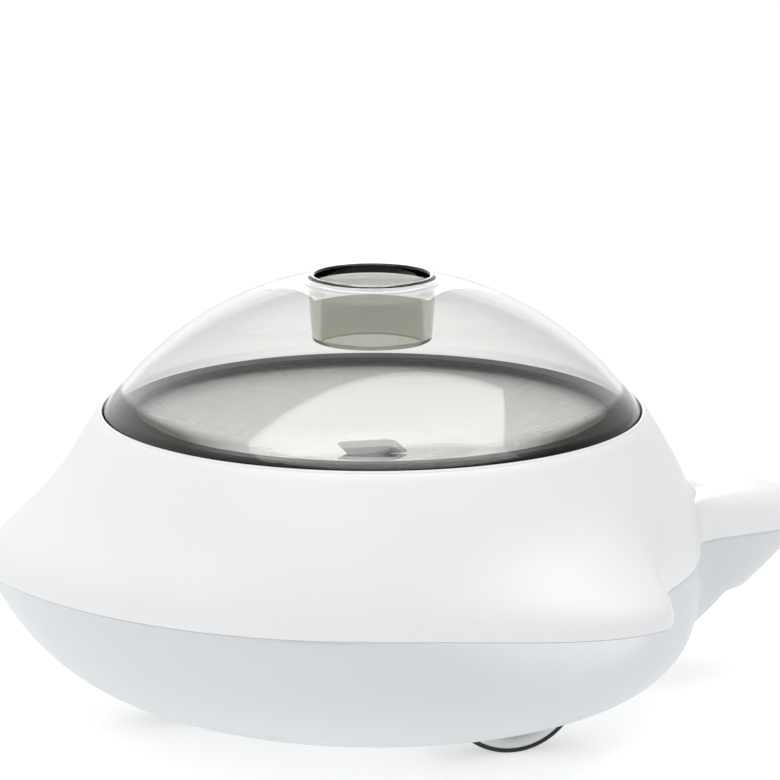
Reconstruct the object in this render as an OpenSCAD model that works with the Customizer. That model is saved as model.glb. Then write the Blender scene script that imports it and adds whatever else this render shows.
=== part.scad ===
// Rolling treat launcher for dogs.
// A white two-part shell with a nose, two side fins and a tail stands on a pair of driven wheels and a
// nose wheel. Treats go in through the tube of a smoked clear dome and lie on a dished tray. Pushing the
// toy turns a vaned rotor through a gear train, and the rotor throws treats down a chute and out under
// the tail. +X points to the tail, +Z up, and the floor is at z = 0.

/* [Body shells] */
// Height of the dome seat above the floor
ring_z = 86.4; // [84:0.2:95]
// Width of the shell's lip round the dome
lip_w = 1.3; // [1:0.1:3]
// Height of the parting line between the shells
rim_z = 46.4; // [44:0.2:50]
// How much further out the parting line lies than the lip, between the lobes
shoulder_w = 15.8; // [13:0.1:20]
// Clearance between the belly and the floor
belly_z = 9; // [8:0.25:10]
// Radius of the flat part of the belly
belly_flat_r = 47.5; // [45:0.5:50]
// How far the belly lies towards the tail
belly_shift = 2; // [0:0.25:3]
// Squareness of the bowl's profile
bowl_power = 3.1; // [2.8:0.05:3.4]
// Wall of both shells
shell_wall = 2.4; // [2:0.1:2.8]
// How far the nose stands out of the round body
nose_reach = 17; // [10:0.2:24]
// Half spread of the nose, in degrees
nose_spread = 35; // [28:1:42]
// How far a side fin stands out of the round body
fin_reach = 20; // [12:0.5:26]
// Angle of the fins from the tail, in degrees
fin_angle = 62.5; // [56:0.5:72]
// Spread of a fin on the side of the nose, in degrees
fin_lead = 22; // [18:1:28]
// Spread of a fin on the side of the tail, in degrees
fin_trail = 9; // [7:0.5:12]
// How far the tail stands out of the round body
tail_reach = 38; // [30:0.5:44]
// Half spread of the tail, in degrees
tail_spread = 9.1; // [8.5:0.1:12]
// Height of the tail's flat top above the parting line
tail_top = 11.4; // [9:0.2:14]
// Height of the locating lip along the parting line
lip_h = 2.5; // [1.5:0.1:4]

/* [Dome] */
// Outer radius of the dome at its seat
dome_r = 74.3; // [73:0.1:74.6]
// Height of the dome above its seat, as if it had no fill tube
dome_h = 38.1; // [34:0.1:42]
// Wall of the dome
dome_wall = 2.2; // [1.8:0.1:2.6]
// Depth of the dome's skirt inside the shell
skirt_h = 8; // [6:0.25:9]
// Width of the dark ring bonded inside the dome's foot
dome_foot_w = 7; // [5:0.25:8]
// Radius of the fill tube's bore
tube_bore_r = 14.2; // [12:0.1:15]
// Radius of the fill tube's mouth
tube_mouth_r = 15.8; // [15.2:0.1:17]
// Depth of the funnel at the tube's mouth
tube_funnel_h = 4.5; // [3:0.25:6]
// Outer radius of the tube at its lower end
tube_foot_r = 16.6; // [16:0.1:17.4]
// Outer radius of the tube where it joins the dome
tube_root_r = 17.8; // [17.2:0.1:19]
// Height of the tube's lower end above the dome seat
tube_foot_h = 18.3; // [16:0.1:22]

/* [Treat tray] */
// Depth of the tray's floor under the dome seat
tray_depth = 12; // [11:0.25:13]
// Radius of the tray's flat floor
tray_floor_r = 25; // [20:0.5:30]
// Thickness of the tray
tray_t = 2; // [1.6:0.1:2.4]
// Width of the tray's rim
tray_rim_w = 2.2; // [1.8:0.1:3]
// Side of the square outlet in the tray
outlet_w = 17; // [15:0.5:20]

/* [Wheels] */
// Radius over the tyres
wheel_r = 19.4; // [19:0.1:20]
// Thickness of the tyre band
tyre_t = 1.2; // [1:0.1:2]
// Width of a wheel
wheel_w = 8; // [6:0.5:9]
// Distance between the middles of the rear wheels
rear_track = 96; // [92:0.5:98]
// Distance of the rear axle behind the dome's middle
rear_axle_x = 26; // [24:0.5:28]
// Distance of the nose wheel ahead of the dome's middle
nose_axle_x = 49; // [47:0.5:51]
// Diameter of the axles
axle_d = 5; // [4:0.25:5.5]

/* [Feed] */
// Module of the gears
gear_module = 1; // [0.96:0.01:1.02]
// Teeth of the pinion on the rear axle
pinion_teeth = 12; // [12:1:12]
// Teeth of the idler gear
idler_teeth = 18; // [18:1:18]
// Teeth of the gear on the rotor
rotor_teeth = 34; // [34:1:34]
// Width of the gears
gear_w = 5; // [4:0.25:6]
// Radius of the rotor over its vanes
rotor_r = 14; // [13:0.25:14.5]
// Width of the rotor
rotor_w = 21; // [19:0.5:21.5]
// Number of vanes on the rotor
vane_count = 4; // [3:1:6]
// Thickness of a vane
vane_t = 2.4; // [1.8:0.1:3]
// Wall of the rotor housing and the chute
feed_wall = 2; // [1.6:0.1:2.4]
// Diameter of the rotor shaft
shaft_d = 4; // [3:0.25:4.5]
// Fall of the chute, as height over length
chute_slope = 0.156; // [0.12:0.002:0.17]
// Height of the chute's channel
chute_h = 13; // [12:0.5:14]

/* [Clearances] */
// Gap between pieces that only stand near each other
near_gap = 0.3; // [0.2:0.05:0.5]
// Gap round the dome's skirt
dome_gap = 0.4; // [0.3:0.05:0.6]
// Radial gap of a shaft in its bearing
running_gap = 0.06; // [0.03:0.01:0.1]
// Gap between the rotor and its housing
rotor_gap = 0.6; // [0.4:0.05:0.9]
// Gap between a wheel and its opening in the belly
wheel_gap = 2.2; // [1.6:0.1:2.6]
// Gap left between the flanks of meshing teeth
tooth_gap = 0.24; // [0.16:0.02:0.3]

/* [Hidden] */

shell_colour = "white";
tray_colour = "whitesmoke";
dome_colour = [0.45, 0.46, 0.44, 0.5];
foot_colour = "#26261f";
frame_colour = "gainsboro";
gear_colour = "ivory";
steel_colour = "silver";
tyre_colour = "#1c1c1c";

// The loft of both shells: steps round the body, closer at the tail, and angles on the bowl
loft_steps = 108;
loft_bias = 34;
bowl_steps = 12;
nose_power = 1.3;
fin_power = 2;
tail_power = 3;
flare_rise = 4.6;
flare_turn = 3.9;
tail_round = 3.1;
tail_fillet = 7;
tail_root = 0.1;
nose_keel = 1.02;
fin_keel = 5;
tail_keel = 1.1;
shadow_line = 0.5;

// The dome's middle lies ahead of the origin, which is under the middle of the whole length
body_x = -(tail_reach - nose_reach) / 2;

// Seats in the upper shell
mouth_r = dome_r + dome_gap;
mouth_lip_r = mouth_r + lip_w;
rim_r = mouth_lip_r + shoulder_w;
ledge_z = ring_z - skirt_h - near_gap;
ledge_t = 2.2;
tray_out_r = dome_r - dome_wall - dome_gap;
ledge_r = tray_out_r - tray_rim_w - 3.5;
bond_gap = 0.12;
seat_low_r = upper_round_r(upper_t_at(ledge_z - ledge_t)) - shell_wall - bond_gap;
seat_top_r = upper_round_r(upper_t_at(ledge_z)) - shell_wall - bond_gap;
collar_h = 3;
collar_r = mouth_r + 1.5;
dome_foot_t = 2;

// The ball that the dome is cut from
ball_r = (dome_r ^ 2 + dome_h ^ 2) / (2 * dome_h);
ball_z = ring_z + dome_h - ball_r;

// Tray
tray_z = ring_z - tray_depth;
tray_sink = 1.8;
tray_edge_z = ring_z - tray_sink;
outlet_corner = 3;

// Wheels
axle_r = axle_d / 2;
rim_of_wheel_r = wheel_r - tyre_t;
bush_wall = 1.5;
bush_r = axle_r + running_gap + bush_wall;

// Gear train: the three axles lie on one line from the rear axle to the rotor
mesh_room = 0.04;
pinion_pitch_r = gear_module * pinion_teeth / 2;
idler_pitch_r = gear_module * idler_teeth / 2;
rotor_pitch_r = gear_module * rotor_teeth / 2;
first_mesh = pinion_pitch_r + idler_pitch_r + mesh_room;
second_mesh = idler_pitch_r + rotor_pitch_r + mesh_room;
train_length = first_mesh + second_mesh;
train_rise = sqrt(train_length ^ 2 - rear_axle_x ^ 2);
train_angle = atan2(train_rise, -rear_axle_x);
rotor_z = wheel_r + train_rise;
idler_x = rear_axle_x + first_mesh * cos(train_angle);
idler_z = wheel_r + first_mesh * sin(train_angle);
pressure_angle = 25;
addendum = 0.8;
dedendum = 1.05;

// Feed housing and chute, across the toy
channel_half = rotor_w / 2 + near_gap + 0.2;
housing_half = channel_half + feed_wall;
rotor_bore_r = rotor_r + rotor_gap;
housing_half_x = rotor_bore_r + feed_wall + 1.4;
housing_top = tray_z - tray_t - near_gap;
housing_bottom = rotor_z - rotor_bore_r - 1.4;
gear_y = housing_half + 2.6;
upright_y = gear_y + gear_w + 1.6;
upright_t = 3;
upright_foot = 9;
shaft_r = shaft_d / 2;
pin_r = 1.5;

// The chute's floor passes over the rear axle and ends at the port under the tail
chute_over_axle = wheel_r + axle_r + 1.1 + feed_wall;
chute_start_x = -housing_half_x;
port_x = 80;
port_corner = 0.8;
function chute_z(x) = chute_over_axle - (x - rear_axle_x) * chute_slope;
port_floor_z = chute_z(port_x) - feed_wall - near_gap;
port_top_z = chute_z(port_x) + chute_h;

// Chassis
belly_inside = belly_z + shell_wall;
plate_t = 2.5;
plate_z = belly_inside + 2.6;
plate_top = plate_z + plate_t;
plate_front_x = -64;
plate_back_x = 41;
plate_corner = 16;
ear_t = 5;
ear_y = rear_track / 2 - wheel_w / 2 - 2.5 - ear_t;
ear_half_x = bush_r + 3;
plate_half_y = ear_y + ear_t / 2;
nose_ear_y = wheel_w / 2 + 0.8;

// Screws
screw_r = 1.5;
screw_head_r = 2.9;
screw_head_h = 1.8;
screw_gap = 0.1;
foot_r = 5;
foot_bore = 9;
foot_places = [[plate_back_x - 3, plate_half_y / 2 - 0.5], [plate_front_x + 36, plate_half_y - 9]];
housing_screw_x = housing_half_x + 4.5;
housing_screw_y = 8;
flange_end = 4.5;
post_r = 3.6;
post_ring_r = ledge_r + 6.6;
post_angles = [-140, -35, 35, 140];
post_foot_z = belly_z + 15;
post_head_z = belly_z + 8;
post_bite = 9;
flange_t = 2.5;
flange_drop = 8;
boss_r = screw_head_r + screw_gap + 2;
boss_z = belly_z + 4.4;

// How far each lobe stands out of the round body at an angle from the tail
function turned(a) = (a + 540) % 360 - 180;
function bump(d, spread, power) = exp(-pow(abs(d) / spread, power));
function nose(a) = nose_reach * bump(180 - abs(turned(a)), nose_spread, nose_power);
function fin(a) =
    let (past = abs(turned(a)) - fin_angle)
    fin_reach * bump(past, past > 0 ? fin_lead : fin_trail, fin_power);
function tail(a) = tail_reach * bump(turned(a), tail_spread, tail_power);

// The nose and fins flare out of the upper shell. The tail has a flat top with a round end and a fillet
function flare(t) = 1 - pow(1 - pow(t, flare_rise), flare_turn);
function tail_flare(h) =
    h >= tail_top + tail_fillet ? 0
    : h >= tail_top ? tail_root * pow((tail_top + tail_fillet - h) / tail_fillet, 2)
    : tail_root + (1 - tail_root) * pow(1 - pow(max(0, h) / tail_top, tail_round), 1 / tail_round);

// Outside of the upper shell at t from 0 at the lip to 1 at the parting line, or its inside, a wall further in
function upper_round_r(t) = mouth_lip_r + shoulder_w * sin(90 * t);
function upper_z(t) = ring_z - t * (ring_z - rim_z);
function upper_t_at(z) = (ring_z - z) / (ring_z - rim_z);
function upper_r(a, t, wall = 0) =
    upper_round_r(t) - wall + (nose(a) + fin(a)) * flare(t)
    + tail(a) * tail_flare(upper_z(t) - rim_z + wall);

// Rows of the loft from the lip to low_t: down to the tail's fillet, along it, then close under the tail's top
function upper_rows(low_t, top_z) =
    let (top_t = upper_t_at(top_z), root_t = upper_t_at(top_z + tail_fillet))
    concat(
        [for (k = [0:4]) root_t * k / 5],
        [for (k = [0:3]) root_t + (top_t - root_t) * k / 4],
        [for (k = [0:8]) top_t + (low_t - top_t) * pow(k / 8, 2)]
    );

// Outside of the bowl at an angle b from 0 at the parting line to 90 at the belly
function bowl_scale(b) = pow(pow(cos(b), bowl_power) + pow(sin(b), bowl_power), -1 / bowl_power);
function bowl_r(a, b, wall) =
    let (down = bowl_scale(b) * sin(b), left = max(0, 1 - down - wall / (rim_z - belly_z)))
    belly_flat_r + (rim_r - wall - belly_flat_r) * bowl_scale(b) * cos(b) + belly_shift * cos(a) * down
    + nose(a) * pow(left, nose_keel) + fin(a) * pow(left, fin_keel) + tail(a) * pow(left, tail_keel);
function bowl_z(b, wall) = rim_z - (rim_z - belly_z - wall) * bowl_scale(b) * sin(b);

// One half section of the upper shell, from the lip down the outside and back up the inside
function upper_section(a) =
    let (step_z = rim_z + lip_h + near_gap, split = shell_wall / 2, low_t = upper_t_at(step_z),
         inside = upper_rows(low_t, rim_z + tail_top - shell_wall), last = len(inside) - 1)
    concat(
        [for (t = upper_rows(1, rim_z + tail_top)) [upper_r(a, t), upper_z(t)]],
        [[upper_r(a, 1) - split, rim_z], [upper_r(a, low_t) - split, step_z]],
        [for (k = [last:-1:0]) let (t = inside[k]) [max(mouth_r, upper_r(a, t, shell_wall)), upper_z(t)]]
    );

// One half section of the bowl, from the belly up the outside and back down the inside
function lower_section(a) =
    let (rim = bowl_r(a, 0, 0) - shadow_line, split = shell_wall / 2 + near_gap,
         lip_in = upper_r(a, upper_t_at(rim_z + lip_h), shell_wall) - 0.6)
    concat(
        [for (k = [0:bowl_steps]) let (b = 90 - 90 * k / bowl_steps)
            [bowl_r(a, b, 0) - shadow_line * cos(b), bowl_z(b, 0)]],
        [[rim - split + shadow_line, rim_z], [rim - split + shadow_line - 0.9, rim_z + lip_h],
         [min(lip_in, rim - split - 0.9), rim_z + lip_h]],
        [for (k = [0:bowl_steps]) let (b = 90 * k / bowl_steps)
            [bowl_r(a, b, shell_wall) - shadow_line * cos(b) - 0.4 * cos(b), bowl_z(b, shell_wall)]]
    );

function loft_angle(i) = 360 * i / loft_steps - loft_bias * sin(360 * i / loft_steps);
function around(section_of) = [for (i = [0:loft_steps - 1]) section_of(loft_angle(i))];
function loft_points(sections) = [
    for (i = [0:loft_steps - 1], p = sections[i])
        let (a = loft_angle(i)) [p[0] * cos(a), p[0] * sin(a), p[1]]
];
function quad(i, j, k, count) =
    let (a = i * count, b = (i + 1) % loft_steps * count) [[a + j, a + k, b + k], [a + j, b + k, b + j]];
function loft_faces(count, last) = [
    for (i = [0:loft_steps - 1], j = [0:last]) each quad(i, j, (j + 1) % count, count)
];

// A closed ring lofted from one section per step
module ring_loft(sections) {
    count = len(sections[0]);
    polyhedron(loft_points(sections), loft_faces(count, count - 1));
}

// A closed bowl lofted from one open section per step, with flat ends on the axis
module bowl_loft(sections) {
    count = len(sections[0]);
    outer_floor = [for (i = [0:loft_steps - 1]) i * count];
    inner_floor = [for (i = [loft_steps - 1:-1:0]) i * count + count - 1];
    polyhedron(
        loft_points(sections),
        concat(loft_faces(count, count - 2), [outer_floor, inner_floor])
    );
}

// Everything is drawn round the dome's middle and then set in the part's frame
module in_frame() translate([body_x, 0, 0]) children();

// A cylinder along Y from y0 to y1
module y_rod(r, y0, y1, fn = 48)
    translate([0, y0, 0]) rotate([-90, 0, 0]) cylinder(r = r, h = y1 - y0, $fn = fn);

// A plate across Y with a side view given in x and z
module side_plate(y0, y1) translate([0, y1, 0]) rotate([90, 0, 0]) linear_extrude(y1 - y0) children();

module rounded_square(w, d, r) {
    square([w - 2 * r, d], center = true);
    square([w, d - 2 * r], center = true);
    for (x = [-1, 1], y = [-1, 1]) translate([x * (w / 2 - r), y * (d / 2 - r)]) circle(r, $fn = 32);
}

// Places
module at_rear_axle() translate([rear_axle_x, 0, wheel_r]) children();
module at_nose_axle() translate([-nose_axle_x, 0, wheel_r]) children();
module at_idler() translate([idler_x, 0, idler_z]) children();
module at_rotor() translate([0, 0, rotor_z]) children();
module at_feet() for (p = foot_places, s = [-1, 1]) translate([p[0], s * p[1], 0]) children();
module at_housing_screws()
    for (x = [-1, 1], y = [-1, 1]) translate([x * housing_screw_x, y * housing_screw_y, 0]) children();

module at_posts() for (a = post_angles) rotate(a) translate([post_ring_r, 0, 0]) children();

module upper_shell() color(shell_colour) in_frame() ring_loft(around(function(a) upper_section(a)));

// Seat ring: bonded inside the upper shell, it carries the tray and the dome and stands on four posts
module seat_ring() color(shell_colour) in_frame() difference() {
    union() {
        rotate_extrude($fn = 180) polygon([
            [ledge_r, ledge_z - ledge_t], [seat_low_r, ledge_z - ledge_t], [seat_top_r, ledge_z],
            [collar_r, ledge_z], [collar_r, ledge_z + collar_h], [mouth_r, ledge_z + collar_h],
            [mouth_r, ledge_z], [ledge_r, ledge_z]
        ]);
        at_posts() translate([0, 0, post_foot_z]) cylinder(r = post_r, h = ledge_z - 1 - post_foot_z, $fn = 32);
    }
    at_posts() translate([0, 0, post_foot_z - 1]) cylinder(r = screw_r, h = post_bite + 4, $fn = 24);
}

module wheel_opening(half_chord) {
    linear_extrude(rim_z - belly_z, center = true)
        rounded_square(2 * (half_chord + wheel_gap), wheel_w + 2 * wheel_gap, 3);
}

// Lower shell: the bowl with openings for the wheels, the port under the tail and bosses for the posts
module lower_shell() color(shell_colour) in_frame() {
    half_chord = sqrt(wheel_r ^ 2 - (wheel_r - belly_inside - 3) ^ 2);
    difference() {
        union() {
            bowl_loft(around(function(a) lower_section(a)));
            at_posts() translate([0, 0, boss_z])
                cylinder(r = boss_r, h = post_foot_z - near_gap - boss_z, $fn = 32);
        }
        for (s = [-1, 1]) translate([rear_axle_x, s * rear_track / 2, belly_z]) wheel_opening(half_chord);
        translate([-nose_axle_x, 0, belly_z]) wheel_opening(half_chord);
        translate([port_x - 20, 0, (port_floor_z + port_top_z) / 2]) rotate([90, 0, 90])
            linear_extrude(rim_r + tail_reach - port_x + 20)
            rounded_square(2 * housing_half + 2 * near_gap, port_top_z - port_floor_z, port_corner);
        at_feet() {
            translate([0, 0, belly_z - 1]) cylinder(r = screw_r + screw_gap, h = shell_wall + 2, $fn = 32);
            translate([0, 0, belly_z - 1]) cylinder(r = screw_head_r + screw_gap, h = 2, $fn = 32);
        }
        at_posts() {
            translate([0, 0, belly_z - 1]) cylinder(r = screw_r + screw_gap, h = post_foot_z, $fn = 32);
            translate([0, 0, belly_z - 1])
                cylinder(r = screw_head_r + screw_gap, h = post_head_z + screw_head_h - belly_z + 1, $fn = 32);
        }
    }
}

// Dome with its fill tube, one clear moulding
module dome_section() {
    tube_z = ring_z + tube_foot_h;
    difference() {
        union() {
            difference() {
                intersection() {
                    translate([0, ball_z]) circle(ball_r, $fn = 180);
                    translate([0, ring_z]) square([dome_r, dome_h]);
                }
                translate([0, ball_z]) circle(ball_r - dome_wall, $fn = 180);
            }
            translate([dome_r - dome_wall, ring_z - skirt_h]) square([dome_wall, skirt_h + 0.5]);
            intersection() {
                polygon([
                    [0, tube_z], [tube_foot_r, tube_z], [tube_root_r, ring_z + dome_h], [0, ring_z + dome_h]
                ]);
                translate([0, ball_z]) circle(ball_r, $fn = 180);
            }
        }
        translate([0, tube_z - 1]) square([tube_bore_r, dome_h]);
        polygon([
            [0, ring_z + dome_h + 1], [tube_mouth_r + 0.6, ring_z + dome_h + 1],
            [tube_mouth_r, ring_z + dome_h - 1.4], [tube_bore_r, ring_z + dome_h - 1.4 - tube_funnel_h],
            [0, ring_z + dome_h - 1.4 - tube_funnel_h]
        ]);
    }
}

module dome() color(dome_colour) in_frame() rotate_extrude($fn = 180) dome_section();

// Dome foot: a dark ring bonded inside the dome, over the tray's rim
module dome_foot() color(foot_colour) in_frame() {
    low_z = tray_edge_z + dome_gap;
    top_z = low_z + dome_foot_t;
    out_r = dome_r - dome_wall - bond_gap;
    top_r = sqrt((ball_r - dome_wall) ^ 2 - (top_z - ball_z) ^ 2) - bond_gap;
    in_r = dome_r - dome_wall - dome_foot_w;
    rotate_extrude($fn = 180) polygon([
        [in_r, top_z - 0.9], [in_r + 0.6, low_z], [out_r, low_z], [out_r, low_z + dome_foot_t / 3],
        [top_r, top_z], [in_r + 0.3, top_z - 0.2], [in_r, top_z - 0.5]
    ]);
}

// Tray
dish_power = 1.6;
dish_out_r = tray_out_r - tray_rim_w;
function dish_z(r) =
    tray_z + (tray_edge_z - tray_z) * pow(max(0, (r - tray_floor_r) / (dish_out_r - tray_floor_r)), dish_power);

module tray() color(tray_colour) in_frame() {
    steps = [for (k = [0:8]) tray_floor_r + (dish_out_r - tray_floor_r) * k / 8];
    difference() {
        union() {
            rotate_extrude($fn = 120) polygon(concat(
                [[0, tray_z]],
                [for (r = steps) [r, dish_z(r)]],
                [[tray_out_r, tray_edge_z], [tray_out_r, ledge_z], [dish_out_r, ledge_z]],
                [for (k = [8:-1:0]) [steps[k], dish_z(steps[k]) - tray_t]],
                [[0, tray_z - tray_t]]
            ));
            at_housing_screws() translate([0, 0, housing_top - flange_drop])
                cylinder(r = 3.4, h = tray_z - housing_top + flange_drop - tray_t / 2, $fn = 32);
        }
        translate([0, 0, tray_z - tray_t - 1]) linear_extrude(tray_t + 2)
            rounded_square(outlet_w, outlet_w, outlet_corner);
        at_housing_screws() translate([0, 0, housing_top - flange_drop - 1])
            cylinder(r = screw_r, h = flange_drop, $fn = 24);
    }
}

// Feed housing: a throat under the tray that opens into the rotor's bore and out to the chute
module feed_housing() color(frame_colour) in_frame() {
    flange_top = housing_top - flange_drop;
    difference() {
        union() {
            translate([-housing_half_x, -housing_half, housing_bottom])
                cube([2 * housing_half_x, 2 * housing_half, housing_top - housing_bottom]);
            translate([-housing_screw_x - flange_end, -housing_half + 1, flange_top - flange_t])
                cube([2 * housing_screw_x + 2 * flange_end, 2 * housing_half - 2, flange_t]);
        }
        at_rotor() y_rod(rotor_bore_r, -channel_half, channel_half, 96);
        translate([-outlet_w / 2, -channel_half, rotor_z])
            cube([outlet_w, 2 * channel_half, housing_top - rotor_z + 1]);
        translate([-rotor_r / 4, -channel_half, housing_bottom - 1])
            cube([rotor_r / 4 + rotor_r, 2 * channel_half, rotor_z - housing_bottom]);
        at_rotor() y_rod(shaft_r + running_gap, -housing_half - 1, housing_half + 1);
        at_housing_screws() translate([0, 0, flange_top - flange_t - 1])
            cylinder(r = screw_r + screw_gap, h = flange_t + 2, $fn = 24);
    }
}

// Chute: an open channel from under the rotor to the port below the tail
module chute() color(frame_colour) in_frame() {
    start = chute_start_x;
    wall_top = housing_bottom - near_gap;
    bend_x = housing_half_x + 2;
    leg_front = -13;
    leg_back = 34;
    difference() {
        union() {
            side_plate(-housing_half, housing_half) polygon([
                [start, chute_z(start) - feed_wall], [port_x, chute_z(port_x) - feed_wall],
                [port_x, chute_z(port_x) + chute_h - 2], [bend_x + 4, chute_z(bend_x + 4) + chute_h - 2],
                [bend_x, wall_top], [start, wall_top]
            ]);
            for (x = [leg_front, leg_back]) translate([x - 2.5, -housing_half, plate_top])
                cube([5, 2 * housing_half, chute_z(x) - feed_wall / 2 - plate_top]);
        }
        side_plate(-channel_half, channel_half) polygon([
            [start + feed_wall, chute_z(start + feed_wall)], [port_x + 1, chute_z(port_x + 1)],
            [port_x + 1, wall_top + 5], [start + feed_wall, wall_top + 5]
        ]);
        for (x = [leg_front, leg_back]) translate([x - 3, -housing_half + 4, plate_top - 1])
            cube([6, 2 * housing_half - 8, chute_z(x) - feed_wall - plate_top - 1]);
    }
}

// Chassis: a plate on the belly with ears for both axles and an upright for the gear train
module chassis_outline() {
    difference() {
        polygon([
            [plate_front_x, -plate_half_y + plate_corner + 6], [plate_front_x + plate_corner, -plate_half_y],
            [plate_back_x - plate_corner / 2, -plate_half_y], [plate_back_x, -plate_half_y + plate_corner],
            [plate_back_x, plate_half_y - plate_corner], [plate_back_x - plate_corner / 2, plate_half_y],
            [plate_front_x + plate_corner, plate_half_y], [plate_front_x, plate_half_y - plate_corner - 6]
        ]);
        translate([-nose_axle_x, 0]) square([2 * wheel_r + 6, 2 * nose_ear_y], center = true);
        translate([rear_axle_x, gear_y + gear_w / 2])
            square([2 * pinion_pitch_r + 6, gear_w + 3], center = true);
        translate([-14, 0]) circle(11, $fn = 48);
    }
}

module ear(y0, y1, half_x) {
    side_plate(y0, y1) {
        circle(half_x, $fn = 48);
        translate([-half_x, plate_top - wheel_r - 0.5]) square([2 * half_x, wheel_r - plate_top + 0.5]);
    }
}

module chassis() color(frame_colour) in_frame() {
    difference() {
        union() {
            translate([0, 0, plate_z]) linear_extrude(plate_t) chassis_outline();
            for (s = [-1, 1]) at_rear_axle()
                ear(s > 0 ? ear_y : -ear_y - ear_t, s > 0 ? ear_y + ear_t : -ear_y, ear_half_x);
            for (s = [-1, 1]) at_nose_axle()
                ear(s > 0 ? nose_ear_y : -nose_ear_y - 4, s > 0 ? nose_ear_y + 4 : -nose_ear_y, axle_r + 3);
            side_plate(upright_y, upright_y + upright_t) polygon([
                [-upright_foot, plate_top - 0.5], [rear_axle_x + upright_foot, plate_top - 0.5],
                [rear_axle_x + upright_foot, wheel_r + 4],
                [idler_x + 7, idler_z + 5], [6, rotor_z + 5], [-6, rotor_z + 5]
            ]);
            at_feet() translate([0, 0, belly_inside])
                cylinder(r = foot_r, h = plate_z - belly_inside + 0.5, $fn = 48);
            at_feet() translate([0, 0, plate_z]) cylinder(r = foot_r, h = 7, $fn = 48);
        }
        at_rear_axle() y_rod(bush_r + 0.02, -rear_track / 2, rear_track / 2);
        at_nose_axle() y_rod(axle_r + 0.02, -wheel_w - 8, wheel_w + 8);
        at_idler() y_rod(pin_r + 0.02, 0, rear_track / 2);
        at_rotor() y_rod(shaft_r + running_gap, 0, rear_track / 2);
        at_feet() translate([0, 0, belly_inside - 1]) cylinder(r = screw_r, h = foot_bore, $fn = 24);
    }
}

// Wheels
module wheel_section(bore_r) {
    face_r = rim_of_wheel_r - 2.6;
    difference() {
        translate([bore_r, -wheel_w / 2]) square([rim_of_wheel_r - bore_r, wheel_w]);
        for (s = [-1, 1]) polygon([
            [bore_r + 4, s * wheel_w / 2 + s * 0.1], [bore_r + 4.6, s * (wheel_w / 2 - 1.6)],
            [face_r - 0.8, s * (wheel_w / 2 - 1.6)], [face_r, s * wheel_w / 2 + s * 0.1]
        ]);
    }
}

// The tyre is a band as wide as the wheel with its outer edges taken off
module tyre_section() {
    edge = tyre_t / 3;
    half = wheel_w / 2;
    polygon([
        [rim_of_wheel_r + 0.02, -half], [wheel_r - edge, -half], [wheel_r, -half + edge],
        [wheel_r, half - edge], [wheel_r - edge, half], [rim_of_wheel_r + 0.02, half]
    ]);
}

module wheel(bore_r) rotate([90, 0, 0]) rotate_extrude($fn = 120) wheel_section(bore_r);
module tyre() rotate([90, 0, 0]) rotate_extrude($fn = 120) tyre_section();

module rear_wheel(side) color(shell_colour) in_frame()
    at_rear_axle() translate([0, side * rear_track / 2, 0]) wheel(axle_r + 0.02);
module rear_tyre(side) color(tyre_colour) in_frame()
    at_rear_axle() translate([0, side * rear_track / 2, 0]) tyre();
module nose_wheel() color(shell_colour) in_frame() at_nose_axle() wheel(axle_r + running_gap);
module nose_tyre() color(tyre_colour) in_frame() at_nose_axle() tyre();

module rear_axle() color(steel_colour) in_frame()
    at_rear_axle() y_rod(axle_r, -rear_track / 2 - wheel_w / 2 + 0.8, rear_track / 2 + wheel_w / 2 - 0.8);

module nose_axle() color(steel_colour) in_frame()
    at_nose_axle() y_rod(axle_r, -nose_ear_y - 4, nose_ear_y + 4);

module axle_bushes() color(gear_colour) in_frame() at_rear_axle()
    for (y0 = [ear_y, -ear_y - ear_t, upright_y]) difference() {
        y_rod(bush_r, y0, y0 + (y0 == upright_y ? upright_t : ear_t));
        y_rod(axle_r + running_gap, y0 - 1, y0 + ear_t + 1);
    }

// Gears
function involute_turn(r, base_r) =
    let (t = sqrt(max(0, (r / base_r) ^ 2 - 1))) t * 180 / PI - atan(t);

module gear_outline(teeth) {
    pitch_r = gear_module * teeth / 2;
    base_r = pitch_r * cos(pressure_angle);
    root_r = pitch_r - dedendum * gear_module;
    tip_r = pitch_r + addendum * gear_module;
    foot_r = max(base_r, root_r);
    radii = concat([root_r], [for (k = [0:4]) foot_r + 0.05 + (tip_r - foot_r - 0.05) * k / 4]);
    half = 90 / teeth - tooth_gap / 4 / pitch_r * 180 / PI + involute_turn(pitch_r, base_r);
    function flank(r) = half - involute_turn(max(r, base_r), base_r);
    polygon([
        for (i = [0:teeth - 1]) each let (mid = 360 * i / teeth) concat(
            [for (r = radii) r * [cos(mid - flank(r)), sin(mid - flank(r))]],
            [for (k = [len(radii) - 1:-1:0]) let (r = radii[k]) r * [cos(mid + flank(r)), sin(mid + flank(r))]]
        )
    ]);
}

// A gear across Y whose first tooth points at an angle in the side view
module gear(teeth, angle, bore_r) side_plate(gear_y, gear_y + gear_w) difference() {
    rotate(angle) gear_outline(teeth);
    circle(bore_r, $fn = 48);
}

module drive_pinion() color(gear_colour) in_frame()
    at_rear_axle() gear(pinion_teeth, train_angle, axle_r + 0.02);
module idler_gear() color(gear_colour) in_frame()
    at_idler() gear(idler_teeth, train_angle + 180 + 180 / idler_teeth, pin_r + running_gap);
module rotor_gear() color(gear_colour) in_frame()
    at_rotor() gear(rotor_teeth, train_angle + 180, shaft_r + 0.02);

module idler_pin() color(steel_colour) in_frame()
    at_idler() y_rod(pin_r, gear_y - 0.8, upright_y + upright_t, 32);

// Rotor
module rotor_shaft() color(steel_colour) in_frame()
    at_rotor() y_rod(shaft_r, -housing_half, upright_y + upright_t);

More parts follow.
